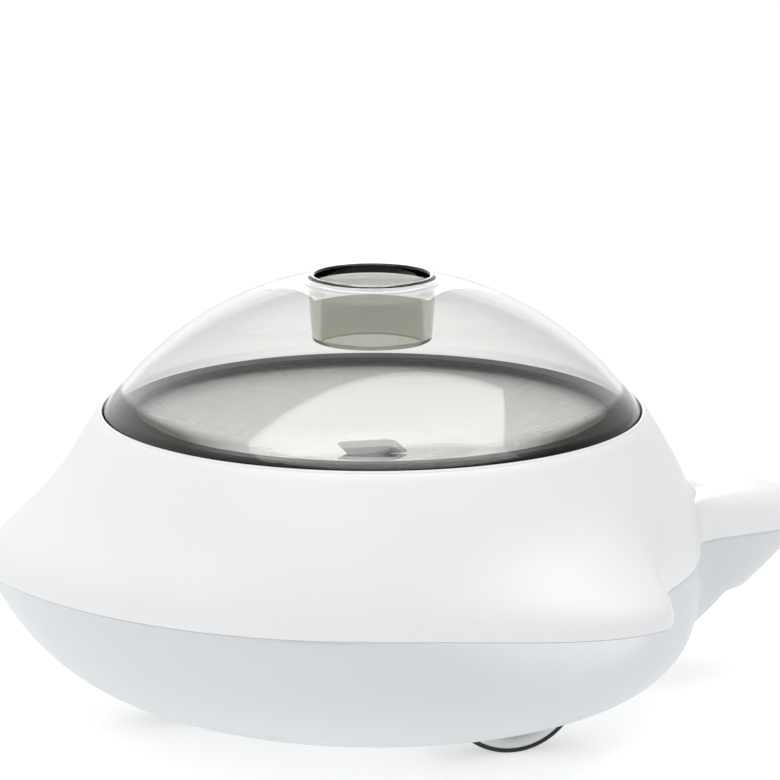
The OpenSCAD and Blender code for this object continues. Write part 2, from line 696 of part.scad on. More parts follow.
module rotor_outline() {
    circle(shaft_r + 3, $fn = 48);
    for (i = [0:vane_count - 1]) rotate(45 + 360 * i / vane_count) intersection() {
        translate([0, -vane_t / 2]) square([rotor_r + 1, vane_t]);
        circle(rotor_r, $fn = 96);
    }
}

module rotor() color(gear_colour) in_frame() at_rotor() side_plate(-rotor_w / 2, rotor_w / 2) difference() {
    rotor_outline();
    circle(shaft_r + 0.02, $fn = 48);
}

// Screws
module screw(length) {
    cylinder(r = screw_head_r, h = screw_head_h, $fn = 32);
    cylinder(r = screw_r - 0.02, h = length, $fn = 24);
}

module shell_screws() color(steel_colour) in_frame() at_posts()
    translate([0, 0, post_head_z]) screw(post_foot_z - post_head_z + post_bite);
module chassis_screws() color(steel_colour) in_frame() at_feet()
    translate([0, 0, belly_z + 1 - screw_head_h]) screw(plate_top - belly_z + 1.5);
module housing_screws() color(steel_colour) in_frame()
    at_housing_screws() translate([0, 0, housing_top - flange_drop - flange_t - screw_head_h])
    screw(screw_head_h + flange_t + flange_drop - 3.3);

upper_shell();
lower_shell();
seat_ring();
dome();
dome_foot();
tray();
feed_housing();
chute();
chassis();
rear_axle();
rear_wheel(1);  // rear_wheel_left
rear_wheel(-1);  // rear_wheel_right
rear_tyre(1);  // rear_tyre_left
rear_tyre(-1);  // rear_tyre_right
axle_bushes();
nose_axle();
nose_wheel();
nose_tyre();
drive_pinion();
idler_gear();
idler_pin();
rotor_gear();
rotor_shaft();
rotor();
shell_screws();
chassis_screws();
housing_screws();
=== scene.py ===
"""Looks of the rolling treat launcher: smooth shells, a clear smoked dome, wheels and their materials."""

import math

import bmesh
import bpy
from mathutils import Matrix, Vector


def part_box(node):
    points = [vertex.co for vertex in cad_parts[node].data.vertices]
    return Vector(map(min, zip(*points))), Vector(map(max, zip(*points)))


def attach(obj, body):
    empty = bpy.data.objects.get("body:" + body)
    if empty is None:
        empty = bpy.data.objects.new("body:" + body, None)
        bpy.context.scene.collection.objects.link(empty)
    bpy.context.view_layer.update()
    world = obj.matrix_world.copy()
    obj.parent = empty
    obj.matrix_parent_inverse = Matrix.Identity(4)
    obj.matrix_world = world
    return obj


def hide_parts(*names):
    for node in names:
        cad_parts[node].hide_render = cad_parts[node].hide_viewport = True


MM = 0.001

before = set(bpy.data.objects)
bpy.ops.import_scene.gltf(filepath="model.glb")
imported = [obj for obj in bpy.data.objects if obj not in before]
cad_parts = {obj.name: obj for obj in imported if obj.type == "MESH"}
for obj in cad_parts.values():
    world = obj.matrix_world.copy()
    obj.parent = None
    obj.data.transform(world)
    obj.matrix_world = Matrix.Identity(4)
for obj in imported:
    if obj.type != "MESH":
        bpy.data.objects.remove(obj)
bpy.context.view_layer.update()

# Places and sizes read from the frame, in metres
dome_low, dome_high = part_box("dome")
shell_low, shell_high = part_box("upper_shell")
bowl_low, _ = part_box("lower_shell")
tray_low, tray_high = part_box("tray")

BODY_X = (dome_low.x + dome_high.x) / 2
RING_Z = shell_high.z
RIM_Z = shell_low.z
BELLY_Z = bowl_low.z
DOME_R = (dome_high.x - dome_low.x) / 2
TAIL_TIP = shell_high.x - BODY_X
NOSE_TIP = BODY_X - shell_low.x

# The body's shape, as in the CAD model
MOUTH_R = DOME_R + 0.4 * MM
MOUTH_LIP_R = MOUTH_R + 1.3 * MM
SHOULDER_W = 15.8 * MM
RIM_R = MOUTH_LIP_R + SHOULDER_W
BELLY_FLAT_R, BELLY_SHIFT = 47.5 * MM, 2 * MM
BOWL_POWER = 3.1
SHELL_WALL = 2.4 * MM
NOSE_SPREAD, NOSE_POWER, NOSE_KEEL = 35, 1.3, 1.02
FIN_REACH, FIN_ANGLE, FIN_LEAD, FIN_TRAIL, FIN_KEEL = 20 * MM, 62.5, 22, 9, 5
TAIL_SPREAD, TAIL_POWER, TAIL_KEEL = 9.1, 3, 1.1
TAIL_TOP, TAIL_FILLET, TAIL_ROOT, TAIL_ROUND = 11.4 * MM, 7 * MM, 0.1, 3.1
FLARE_RISE, FLARE_TURN = 4.6, 3.9
SHADOW_LINE = 0.5 * MM

# Openings in the bowl for the wheels and for the port under the tail
WHEEL_WELL, WELL_CLEARANCE = 41.8 * MM, 2.2 * MM
PORT_LOW, PORT_HIGH, PORT_CLEARANCE = 14.1 * MM, 29.4 * MM, 0.6 * MM

# The dome with its fill tube, the tray and the wheels, after the CAD model
DOME_H, DOME_WALL = 38.1 * MM, 2.2 * MM
BALL_R = (DOME_R**2 + DOME_H**2) / (2 * DOME_H)
BALL_Z = RING_Z + DOME_H - BALL_R
TUBE_ROOT_R, TUBE_FOOT_R, TUBE_BORE_R, TUBE_MOUTH_R = 17.8 * MM, 16.6 * MM, 14.2 * MM, 15.8 * MM
TUBE_FOOT_Z = RING_Z + 18.3 * MM
FUNNEL_H = 4.5 * MM
FOOT_RING_W = 6.88 * MM
TRAY_RIM_W, TRAY_FLOOR_R, TRAY_WALL = 2.2 * MM, 25 * MM, 2 * MM
TRAY_FLOOR_Z = RING_Z - 12 * MM
DISH_POWER = 1.6
OUTLET_W = 17 * MM
WHEEL_BORE_R, HUB_WALL, RIM_BAND, FACE_DISH = 2.52 * MM, 4.2 * MM, 2.6 * MM, 1.6 * MM

# Rounded edges at the parting line, as steps in from the rim and away from the line in millimetres
UPPER_EDGE = [(0.1, 0.12), (0.35, 0), (1.2, 0)]
LOWER_EDGE = [(0, 0.3), (0.15, 0.06), (0.5, 0)]

# Extra wall inside the bowl's rim
RIM_EXTRA = 0.4 * MM

# Fineness of the meshes; the bias brings more of a loft's steps to the tail
LOFT_STEPS, LOFT_BIAS = 360, 34
BOWL_ROWS, BOWL_INNER_ROWS = 52, 14
DOME_ROWS, DISH_ROWS, LIP_ROWS, CORNER_ROWS = 32, 28, 6, 8
RING_STEPS, TRAY_STEPS, WHEEL_STEPS = 240, 192, 120
SHARP_ANGLE = math.radians(38)


# Shape of the body

def bump(degrees, spread, power):
    """A lobe's share of its reach, from 1 at its middle to 0 at its sides."""
    return math.exp(-((abs(degrees) / spread) ** power))


def lobes(degrees):
    """How far the nose, a fin and the tail stand out of the round body at an angle from the tail."""
    turned = abs((degrees + 180) % 360 - 180)
    past_fin = turned - FIN_ANGLE
    nose = (NOSE_TIP - RIM_R) * bump(180 - turned, NOSE_SPREAD, NOSE_POWER)
    fin = FIN_REACH * bump(past_fin, FIN_LEAD if past_fin > 0 else FIN_TRAIL, 2)
    tail = (TAIL_TIP - RIM_R) * bump(turned, TAIL_SPREAD, TAIL_POWER)
    return nose, fin, tail


def tail_flare(height):
    """How much of the tail's reach is left at a height over the parting line: a flat top with a fillet."""
    if height >= TAIL_TOP + TAIL_FILLET:
        return 0.0
    if height >= TAIL_TOP:
        return TAIL_ROOT * ((TAIL_TOP + TAIL_FILLET - height) / TAIL_FILLET) ** 2
    return TAIL_ROOT + (1 - TAIL_ROOT) * (1 - (max(0.0, height) / TAIL_TOP) ** TAIL_ROUND) ** (1 / TAIL_ROUND)


def upper_z(t):
    """Height of the upper shell's rows, from t = 0 at the lip to 1 at the parting line."""
    return RING_Z - t * (RING_Z - RIM_Z)


def upper_r(degrees, t, wall=0.0):
    """Radius of the upper shell at a row, outside or a wall further in."""
    nose, fin, tail = lobes(degrees)
    flare = 1 - (1 - t**FLARE_RISE) ** FLARE_TURN
    r = MOUTH_LIP_R + SHOULDER_W * math.sin(math.pi / 2 * t) - wall
    return r + (nose + fin) * flare + tail * tail_flare(upper_z(t) - RIM_Z + wall)


def upper_rows(first, last, top_height, counts):
    """Rows of the loft: down to the tail's fillet, along it, then close together under the tail's top."""
    span = RING_Z - RIM_Z
    top, root = 1 - top_height / span, 1 - (top_height + TAIL_FILLET) / span
    rows = [first + (root - first) * k / counts[0] for k in range(counts[0])]
    rows += [root + (top - root) * k / counts[1] for k in range(counts[1])]
    rows += [top + (last - top) * (k / counts[2]) ** 2 for k in range(counts[2] + 1)]
    return rows


OUTER_ROWS = upper_rows(0.03, 0.992, TAIL_TOP, (14, 8, 26))
INNER_ROWS = upper_rows(0.06, 0.99, TAIL_TOP - SHELL_WALL, (4, 3, 8))


def bowl_point(degrees, b, wall):
    """A point of the bowl's section, from b = 0 at the parting line to 1 at the flat belly."""
    c, s = math.cos(math.pi / 2 * b), math.sin(math.pi / 2 * b)
    scale = (abs(c) ** BOWL_POWER + abs(s) ** BOWL_POWER) ** (-1 / BOWL_POWER)
    depth = min(1.0, scale * s)
    left = max(0.0, 1 - depth - wall / (RIM_Z - BELLY_Z))
    nose, fin, tail = lobes(degrees)
    r = BELLY_FLAT_R + (RIM_R - wall - BELLY_FLAT_R) * scale * max(c, 0)
    r += BELLY_SHIFT * math.cos(math.radians(degrees)) * depth - SHADOW_LINE * (1 - b)
    r += nose * left**NOSE_KEEL + fin * left**FIN_KEEL + tail * left**TAIL_KEEL
    return r, RIM_Z - (RIM_Z - BELLY_Z - wall) * depth


def arc(centre_r, centre_z, radius, start, end, count):
    """Points of an arc in a section, with angles in degrees from the outward direction."""
    angles = [math.radians(start + (end - start) * k / count) for k in range(count + 1)]
    return [(centre_r + radius * math.cos(a), centre_z + radius * math.sin(a)) for a in angles]


def upper_section(degrees):
    """The upper shell's closed section: lip, outside, parting edge and inside."""
    lip = (MOUTH_LIP_R - MOUTH_R) / 2
    section = arc(MOUTH_R + lip, RING_Z - lip, lip, 180, 0, LIP_ROWS)
    section += [(upper_r(degrees, t), upper_z(t)) for t in OUTER_ROWS]
    rim = upper_r(degrees, 1)
    section += [(rim - inward * MM, RIM_Z + up * MM) for inward, up in UPPER_EDGE]
    section += [(max(MOUTH_R, upper_r(degrees, t, SHELL_WALL)), upper_z(t)) for t in reversed(INNER_ROWS)]
    return section


def lower_section(degrees):
    """The bowl's open section, from the belly up the outside and back down the inside."""
    section = [bowl_point(degrees, 1 - k / BOWL_ROWS, 0) for k in range(BOWL_ROWS)]
    rim, _ = bowl_point(degrees, 0, 0)
    section += [(rim - inward * MM, RIM_Z - down * MM) for inward, down in LOWER_EDGE]
    for k in range(BOWL_INNER_ROWS + 1):
        b = k / BOWL_INNER_ROWS
        r, z = bowl_point(degrees, b, SHELL_WALL)
        section.append((r - RIM_EXTRA * (1 - b), z))
    return section


# Mesh helpers

def link_mesh(name, bm):
    """Turns a bmesh into an object of the scene, with all faces turned outwards."""
    bmesh.ops.recalc_face_normals(bm, faces=bm.faces)
    mesh = bpy.data.meshes.new(name)
    bm.to_mesh(mesh)
    bm.free()
    thing = bpy.data.objects.new(name, mesh)
    bpy.context.scene.collection.objects.link(thing)
    return thing


def shade(piece):
    """Shades a piece smoothly and keeps its sharp edges."""
    piece.data.shade_smooth()
    piece.data.set_sharp_from_angle(angle=SHARP_ANGLE)


def new_piece(name, bm, body, node_name, material):
    """Turns a bmesh into a shaded piece that rides on a body and stands for a CAD node."""
    piece = link_mesh(name, bm)
    piece.data.materials.append(material)
    shade(piece)
    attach(piece, body)
    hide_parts(node_name)
    return piece


def skin(bm, rows, closed=True):
    """Joins a ring of rows by faces; each row is a closed or an open section."""
    count = len(rows[0])
    for row, following in zip(rows, rows[1:] + rows[:1]):
        for j in range(count if closed else count - 1):
            k = (j + 1) % count
            bm.faces.new((row[j], row[k], following[k], following[j]))


def loft(section_of, closed):
    """Skins sections set round the dome's axis; an open section is capped at both ends."""
    bm = bmesh.new()
    rows = []
    for i in range(LOFT_STEPS):
        degrees = 360 * i / LOFT_STEPS
        degrees -= LOFT_BIAS * math.sin(math.radians(degrees))
        c, s = math.cos(math.radians(degrees)), math.sin(math.radians(degrees))
        rows.append([bm.verts.new((BODY_X + r * c, r * s, z)) for r, z in section_of(degrees)])
    skin(bm, rows, closed)
    if not closed:
        bm.faces.new([row[0] for row in rows])
        bm.faces.new([row[-1] for row in rows])
    return bm


def revolve(profile, place, steps):
    """Turns a closed profile of (radius, height) pairs about a placed Z axis."""
    bm = bmesh.new()
    rows = []
    for i in range(steps):
        a = 2 * math.pi * i / steps
        c, s = math.cos(a), math.sin(a)
        rows.append([bm.verts.new(place @ Vector((r * c, r * s, z))) for r, z in profile])
    skin(bm, rows)
    return bm


def rounded_prism(name, size, radius, place):
    """A cutter: a prism with rounded corners, along its own Z axis."""
    bm = bmesh.new()
    outline = []
    for k, (sx, sy) in enumerate([(1, 1), (-1, 1), (-1, -1), (1, -1)]):
        outline += arc(sx * (size[0] / 2 - radius), sy * (size[1] / 2 - radius), radius,
                       90 * k, 90 * (k + 1), CORNER_ROWS)
    low = [bm.verts.new(place @ Vector((x, y, -size[2] / 2))) for x, y in outline]
    high = [bm.verts.new(place @ Vector((x, y, size[2] / 2))) for x, y in outline]
    count = len(outline)
    for i in range(count):
        j = (i + 1) % count
        bm.faces.new((low[i], low[j], high[j], high[i]))
    bm.faces.new(low)
    bm.faces.new(high)
    return link_mesh(name, bm)


def cut(piece, cutters):
    """Cuts holes in a piece and takes the cutters away."""
    for cutter in cutters:
        hole = piece.modifiers.new("hole", "BOOLEAN")
        hole.operation = "DIFFERENCE"
        hole.solver = "EXACT"
        hole.object = cutter
    graph = bpy.context.evaluated_depsgraph_get()
    mesh = bpy.data.meshes.new_from_object(piece.evaluated_get(graph))
    piece.modifiers.clear()
    piece.data = mesh
    for cutter in cutters:
        bpy.data.objects.remove(cutter)
    shade(piece)


# Shader nodes

def connect(tree, node, inputs):
    """Links each named input of a node to a socket, or sets it to a value."""
    for name, value in inputs.items():
        if isinstance(value, bpy.types.NodeSocket):
            tree.links.new(value, node.inputs[name])
        else:
            node.inputs[name].default_value = value


def add_node(tree, kind, inputs, **settings):
    """Adds a node with its settings, which decide the inputs that it has, and then its inputs."""
    node = tree.nodes.new("ShaderNode" + kind)
    for name, value in settings.items():
        setattr(node, name, value)
    connect(tree, node, inputs)
    return node


def noise(tree, scale, detail):
    """Noise that is fixed to the piece."""
    place = add_node(tree, "TexCoord", {}).outputs["Object"]
    return add_node(tree, "TexNoise", {"Scale": scale, "Detail": detail, "Vector": place}).outputs["Fac"]


def calculate(tree, operation, *values):
    """A value worked out from sockets and numbers."""
    return add_node(tree, "Math", dict(enumerate(values)), operation=operation).outputs["Value"]


def fade(tree, value, start, end):
    """Runs softly from 0 to 1 as a value goes from start to end."""
    inputs = {"From Min": start, "From Max": end, "Value": value}
    return add_node(tree, "MapRange", inputs, interpolation_type="SMOOTHSTEP").outputs["Result"]


def tint(tree, value, low, high, span=(0, 1)):
    """A colour between two tints as a value runs over a span."""
    node = add_node(tree, "ValToRGB", {"Fac": value})
    for stop, position, colour in zip(node.color_ramp.elements, span, (low, high)):
        stop.position = position
        stop.color = (*colour, 1)
    return node.outputs["Color"]


def marks(tree, value, low, high):
    """Marks of a noise between two tints, over the middle of its range."""
    return tint(tree, value, low, high, (0.3, 0.7))


def grey(level):
    return level, level, level


def mix(tree, factor, first, second, blend="MIX"):
    """Two colours, the second laid over the first by a factor."""
    inputs = {"Factor": factor, "A": first, "B": second}
    return add_node(tree, "Mix", inputs, data_type="RGBA", blend_type=blend).outputs["Result"]


def multiply(tree, first, second):
    """One tint over another."""
    return mix(tree, 1.0, first, second, "MULTIPLY")


def distance(tree, place, middle, scale=(1, 1, 1)):
    """How far a place lies from a middle; a scale of 0 leaves an axis out."""
    inputs = {"Vector": place, "Location": [-c for c in middle], "Scale": scale}
    offset = add_node(tree, "Mapping", inputs).outputs["Vector"]
    return add_node(tree, "VectorMath", {0: offset}, operation="LENGTH").outputs["Value"]


# Materials

FLOW_SCALE, WEAR_SCALE, SCUFF_SCALE, STEEL_SCALE = 16, 60, 90, 420
GRAIN_HEIGHT = 0.2 * MM
PLASTIC_IOR, ACRYLIC_IOR = 1.5, 1.49


def new_material(name):
    material = bpy.data.materials.new(name)
    material.use_nodes = True
    return material, material.node_tree, material.node_tree.nodes["Principled BSDF"]


def moulded_plastic(name, dark, light, smooth, rough, grain, grain_depth, coat=0.0, specular=0.5):
    """Moulded plastic: faint flow marks in the colour and gloss, and a fine surface grain."""
    material, tree, shader = new_material(name)
    surface = {"Strength": grain_depth, "Distance": GRAIN_HEIGHT, "Height": noise(tree, grain, 2)}
    connect(tree, shader, {
        "Base Color": marks(tree, noise(tree, FLOW_SCALE, 2), dark, light),
        "Roughness": marks(tree, noise(tree, WEAR_SCALE, 4), grey(smooth), grey(rough)),
        "Normal": add_node(tree, "Bump", surface).outputs["Normal"],
        "IOR": PLASTIC_IOR,
        "Specular IOR Level": specular,
        "Coat Weight": coat,
        "Coat Roughness": 0.06,
    })
    return material


def tube_tint(tree, height, from_axis):
    """Smoke in the fill tube, up to a cone that opens from its bore to the clear mouth."""
    slope, cone_z = 1.2, RING_Z + 30 * MM
    cone_start = cone_z - slope * TUBE_BORE_R
    over_cone = calculate(tree, "MULTIPLY_ADD", from_axis, -slope, height)
    past_mouth = fade(tree, over_cone, cone_start, cone_start + 0.8 * MM)
    past_wall = fade(tree, from_axis, TUBE_ROOT_R - 0.1 * MM, TUBE_ROOT_R + 0.6 * MM)
    off_tube = calculate(tree, "MAXIMUM", past_mouth, past_wall)
    return tint(tree, off_tube, (0.55, 0.55, 0.48), (0.985, 0.987, 0.975))


def foot_tint(tree, height, from_ball):
    """Smoke in the skirt below the ring, and on the glass above it, deeper where its outer face is seen aslant."""
    off_skirt = fade(tree, height, RING_Z - 0.2 * MM, RING_Z + 0.4 * MM)
    skirt = tint(tree, off_skirt, (0.05, 0.05, 0.04), (1, 1, 1))
    slant = add_node(tree, "LayerWeight", {"Blend": 0.5}).outputs["Facing"]
    low_wall = fade(tree, height, RING_Z + 8.5 * MM, RING_Z + 2 * MM)
    outside = fade(tree, from_ball, BALL_R - 0.6 * DOME_WALL, BALL_R - 0.4 * DOME_WALL)
    deep = calculate(tree, "MULTIPLY", calculate(tree, "MULTIPLY", slant, low_wall), outside)
    wall = tint(tree, fade(tree, deep, 0.08, 0.31), (1, 1, 1), (0.05, 0.05, 0.035))
    return skirt, wall


def clear_smoke(name):
    """Clear acrylic with a light smoke tint, deeper in the fill tube and at the foot of the dome."""
    material, tree, shader = new_material(name)
    place = add_node(tree, "TexCoord", {}).outputs["Object"]
    height = add_node(tree, "SeparateXYZ", {"Vector": place}).outputs["Z"]
    tube = tube_tint(tree, height, distance(tree, place, (BODY_X, 0, 0), (1, 1, 0)))
    skirt, wall = foot_tint(tree, height, distance(tree, place, (BODY_X, 0, BALL_Z)))
    connect(tree, shader, {
        "Base Color": multiply(tree, multiply(tree, tube, skirt), wall),
        "Roughness": marks(tree, noise(tree, SCUFF_SCALE, 5), grey(0.0), grey(0.012)),
        "Transmission Weight": 1.0,
        "IOR": ACRYLIC_IOR,
    })
    smoke = add_node(tree, "VolumeAbsorption", {"Color": (0.5, 0.515, 0.46, 1), "Density": 50})
    connect(tree, tree.nodes["Material Output"], {"Volume": smoke.outputs["Volume"]})
    return material


def plain_steel(name):
    """Steel with a fine grain in its colour and gloss."""
    material, tree, shader = new_material(name)
    grain = noise(tree, STEEL_SCALE, 2)
    connect(tree, shader, {
        "Base Color": marks(tree, grain, (0.5, 0.5, 0.51), (0.66, 0.66, 0.67)),
        "Roughness": marks(tree, grain, grey(0.22), grey(0.4)),
        "Metallic": 1.0,
    })
    return material


SHELL = moulded_plastic("shell_white", (0.763, 0.763, 0.768), (0.783, 0.783, 0.788), 0.38, 0.46, 900, 0.05,
                        coat=0.03)
# The bowl is the same white plastic as the upper shell, made darker and bluer here: painted shade for its sides
# that face down, away from the light.
BOWL_SHADED_WHITE = moulded_plastic("bowl_white_painted_shade", (0.612, 0.64, 0.65), (0.632, 0.66, 0.67), 0.38, 0.46, 900, 0.05,
                       coat=0.03)
TRAY = moulded_plastic("tray_white", (0.945, 0.945, 0.93), (0.955, 0.955, 0.94), 0.26, 0.29, 1200, 0.06)
WHEEL = moulded_plastic("wheel_white", (0.78, 0.79, 0.79), (0.83, 0.84, 0.84), 0.2, 0.3, 1200, 0.06)
FRAME = moulded_plastic("frame_grey", (0.58, 0.59, 0.6), (0.66, 0.67, 0.68), 0.42, 0.55, 2600, 0.25)
GEAR = moulded_plastic("gear_ivory", (0.74, 0.72, 0.64), (0.8, 0.78, 0.71), 0.34, 0.46, 2000, 0.12)
TYRE = moulded_plastic("tyre_black", (0.012, 0.012, 0.013), (0.022, 0.022, 0.023), 0.55, 0.72, 3000, 0.4)
SMOKE = clear_smoke("dome_smoke")
FOOT = moulded_plastic("foot_dark", (0.028, 0.028, 0.022), (0.04, 0.04, 0.03), 0.4, 0.5, 900, 0.05,
                       specular=0.2)
STEEL = plain_steel("steel")

# Pieces whose CAD mesh is shown as it is
for node_name, node_material in {
    "seat_ring": SHELL, "feed_housing": FRAME, "chute": FRAME, "chassis": FRAME, "rear_axle": STEEL,
    "axle_bushes": GEAR, "nose_axle": STEEL, "drive_pinion": GEAR, "idler_gear": GEAR, "idler_pin": STEEL,
    "rotor_gear": GEAR, "rotor_shaft": STEEL, "rotor": GEAR, "shell_screws": STEEL, "chassis_screws": STEEL,
    "housing_screws": STEEL,
}.items():
    node_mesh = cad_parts[node_name].data
    node_mesh.materials.clear()
    node_mesh.materials.append(node_material)


# Shells

def make_upper_shell():
    new_piece("upper_shell_skin", loft(upper_section, closed=True), "housing", "upper_shell", SHELL)


def wheel_well(node_name):
    """Cutter for the opening that a wheel stands in."""
    low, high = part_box(node_name)
    middle = (low + high) / 2
    size = (WHEEL_WELL, high.y - low.y + 2 * WELL_CLEARANCE, 30 * MM)
    return rounded_prism("cut_" + node_name, size, 3 * MM, Matrix.Translation((middle.x, middle.y, BELLY_Z)))


def tail_port():
    """Cutter for the port under the tail, in line with the chute."""
    chute_low, chute_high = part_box("chute")
    depth, reach_in = 60 * MM, 10 * MM
    middle_x = chute_high.x + depth / 2 - reach_in
    place = Matrix.Translation((middle_x, 0, (PORT_LOW + PORT_HIGH) / 2)) @ Matrix.Rotation(math.pi / 2, 4, "Y")
    size = (PORT_HIGH - PORT_LOW, chute_high.y - chute_low.y + 2 * PORT_CLEARANCE, depth)
    return rounded_prism("cut_port", size, 0.8 * MM, place)


def make_lower_shell():
    # The bowl wears the darker copy of the shell white, which paints shade on it.
    bowl = new_piece("lower_shell_skin", loft(lower_section, closed=False), "housing", "lower_shell",
                     BOWL_SHADED_WHITE)
    wells = [wheel_well(name) for name in ("rear_wheel_left", "rear_wheel_right", "nose_wheel")]
    cut(bowl, wells + [tail_port()])


# Dome, tray and wheels

BODY_AXIS = Matrix.Translation((BODY_X, 0, 0))


def on_ball(r, radius):
    """Height of a ball about the dome's middle at a distance from its axis."""
    return BALL_Z + math.sqrt(radius**2 - r**2)


def ball_rows(start_r, end_r, radius):
    """Rows along the dome, closer together at their end."""
    rows = [start_r + (end_r - start_r) * math.sin(math.pi / 2 * k / DOME_ROWS) for k in range(DOME_ROWS + 1)]
    return [(r, on_ball(r, radius)) for r in rows]


def dome_profile():
    """The dome's closed section with its tube: outside, mouth, bore, tube foot, inside and skirt."""
    lip, fillet, bend, soft = 0.8 * MM, 0.5 * MM, 1.2 * MM, 0.4 * MM
    lip_z = on_ball(TUBE_ROOT_R, BALL_R)
    profile = ball_rows(DOME_R, TUBE_ROOT_R, BALL_R)
    profile += arc(TUBE_MOUTH_R + lip, lip_z - lip * 0.2, lip, 60, 180, 8)
    profile += [(TUBE_MOUTH_R - 0.1 * MM, lip_z - 2 * lip), (TUBE_BORE_R + 0.35 * MM, lip_z - FUNNEL_H)]
    profile += [(TUBE_BORE_R, lip_z - FUNNEL_H - bend), (TUBE_BORE_R, TUBE_FOOT_Z + bend)]
    edge = (TUBE_FOOT_R - TUBE_BORE_R) / 2
    profile += arc(TUBE_BORE_R + edge, TUBE_FOOT_Z + edge, edge, 180, 360, 10)
    inner_ball_r = BALL_R - DOME_WALL
    start_r = TUBE_ROOT_R - 0.3 * MM + fillet
    profile += arc(start_r, on_ball(start_r, inner_ball_r) - fillet, fillet, 180, 90, 6)[:-1]
    end_r = DOME_R - DOME_WALL
    profile += ball_rows(start_r, end_r - 0.55 * MM, inner_ball_r)
    skirt_z = dome_low.z
    profile += [(end_r, RING_Z - 0.6 * MM), (end_r, skirt_z + soft), (end_r + soft, skirt_z)]
    profile += [(DOME_R - soft, skirt_z), (DOME_R, skirt_z + soft), (DOME_R, RING_Z - soft)]
    return profile


def make_dome():
    new_piece("dome_clear", revolve(dome_profile(), BODY_AXIS, RING_STEPS), "dome_cover", "dome", SMOKE)


def make_dome_foot():
    """The dark ring inside the dome's foot: flat, thinner at its inner edge."""
    low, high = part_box("dome_foot")
    out_r = (high.x - low.x) / 2
    in_r = out_r - FOOT_RING_W
    soft, sink = 0.35 * MM, 0.2 * MM
    profile = [(out_r, low.z), (out_r, low.z + 0.65 * MM), (out_r - 0.9 * MM, high.z)]
    profile += arc(in_r + soft, high.z - sink - soft, soft, 90, 200, 6) + [(in_r + 0.6 * MM, low.z)]
    new_piece("dome_foot_ring", revolve(profile, BODY_AXIS, RING_STEPS), "dome_cover", "dome_foot", FOOT)


def make_tray():
    """The dished tray with the square outlet in its floor, which takes in the small hole at its axis."""
    out_r, edge_z = (tray_high.x - tray_low.x) / 2, tray_high.z
    dish_r = out_r - TRAY_RIM_W
    foot_z = dome_low.z - 0.3 * MM
    axis_r, soft = 0.2 * MM, 0.4 * MM

    def dish_z(r):
        rise = max(0, (r - TRAY_FLOOR_R) / (dish_r - TRAY_FLOOR_R))
        return TRAY_FLOOR_Z + (edge_z - TRAY_FLOOR_Z) * rise**DISH_POWER

    rows = [TRAY_FLOOR_R + (dish_r - TRAY_FLOOR_R) * k / DISH_ROWS for k in range(DISH_ROWS + 1)]
    profile = [(axis_r, TRAY_FLOOR_Z), (TRAY_FLOOR_R * 0.6, TRAY_FLOOR_Z)]
    profile += [(r, dish_z(r)) for r in rows[:-1]]
    profile += [(dish_r, edge_z - 0.25 * MM), (dish_r + soft, edge_z), (out_r - soft, edge_z)]
    profile += [(out_r, edge_z - soft), (out_r, foot_z), (dish_r, foot_z)]
    profile += [(r, dish_z(r) - TRAY_WALL) for r in reversed(rows)]
    profile += [(axis_r, TRAY_FLOOR_Z - TRAY_WALL)]
    tray = new_piece("tray_dish", revolve(profile, BODY_AXIS, TRAY_STEPS), "housing", "tray", TRAY)
    outlet = rounded_prism("cut_outlet", (OUTLET_W, OUTLET_W, 12 * MM), 3 * MM,
                           Matrix.Translation((BODY_X, 0, TRAY_FLOOR_Z)))
    cut(tray, [outlet])


def both_sides(half_profile):
    """A section that is the same on both sides of its middle."""
    return half_profile + [(r, -z) for r, z in reversed(half_profile)]


def wheel_profile(outer_r, half):
    """Section of a wheel: hub, dished faces and a rim that the tyre band sits on."""
    hub_r, face_r = WHEEL_BORE_R + HUB_WALL, outer_r - RIM_BAND
    soft, bevel, edge = 0.5 * MM, 0.3 * MM, 0.25 * MM
    profile = [(WHEEL_BORE_R, half - bevel), (WHEEL_BORE_R + bevel, half)]
    profile += [(hub_r - soft, half), (hub_r, half - soft), (hub_r + soft, half - FACE_DISH)]
    profile += [(face_r - 0.9 * MM, half - FACE_DISH), (face_r - 0.2 * MM, half - soft), (face_r + soft, half)]
    profile += [(outer_r - edge, half), (outer_r, half - edge)]
    return both_sides(profile)


def tyre_profile(inner_r, outer_r, half):
    """Section of a tyre band with rounded outer edges."""
    soft = 0.45 * MM
    return both_sides([(inner_r, half)] + arc(outer_r - soft, half - soft, soft, 90, 0, 5))


def make_wheel(wheel_node, tyre_node, body):
    low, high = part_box(wheel_node)
    band_low, band_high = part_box(tyre_node)
    wheel_r, tyre_r = (high.x - low.x) / 2, (band_high.x - band_low.x) / 2
    half = (high.y - low.y) / 2
    tyre_gap = 0.02 * MM
    place = Matrix.Translation((low + high) / 2) @ Matrix.Rotation(math.pi / 2, 4, "X")
    disc = revolve(wheel_profile(wheel_r, half), place, WHEEL_STEPS)
    new_piece(wheel_node + "_disc", disc, body, wheel_node, WHEEL)
    band = revolve(tyre_profile(wheel_r + tyre_gap, tyre_r, half), place, WHEEL_STEPS)
    new_piece(tyre_node + "_band", band, body, tyre_node, TYRE)


make_upper_shell()
make_lower_shell()
make_dome()
make_dome_foot()
make_tray()
make_wheel("rear_wheel_left", "rear_tyre_left", "rear_wheels")
make_wheel("rear_wheel_right", "rear_tyre_right", "rear_wheels")
make_wheel("nose_wheel", "nose_tyre", "front_wheel")


# Floor, light and camera

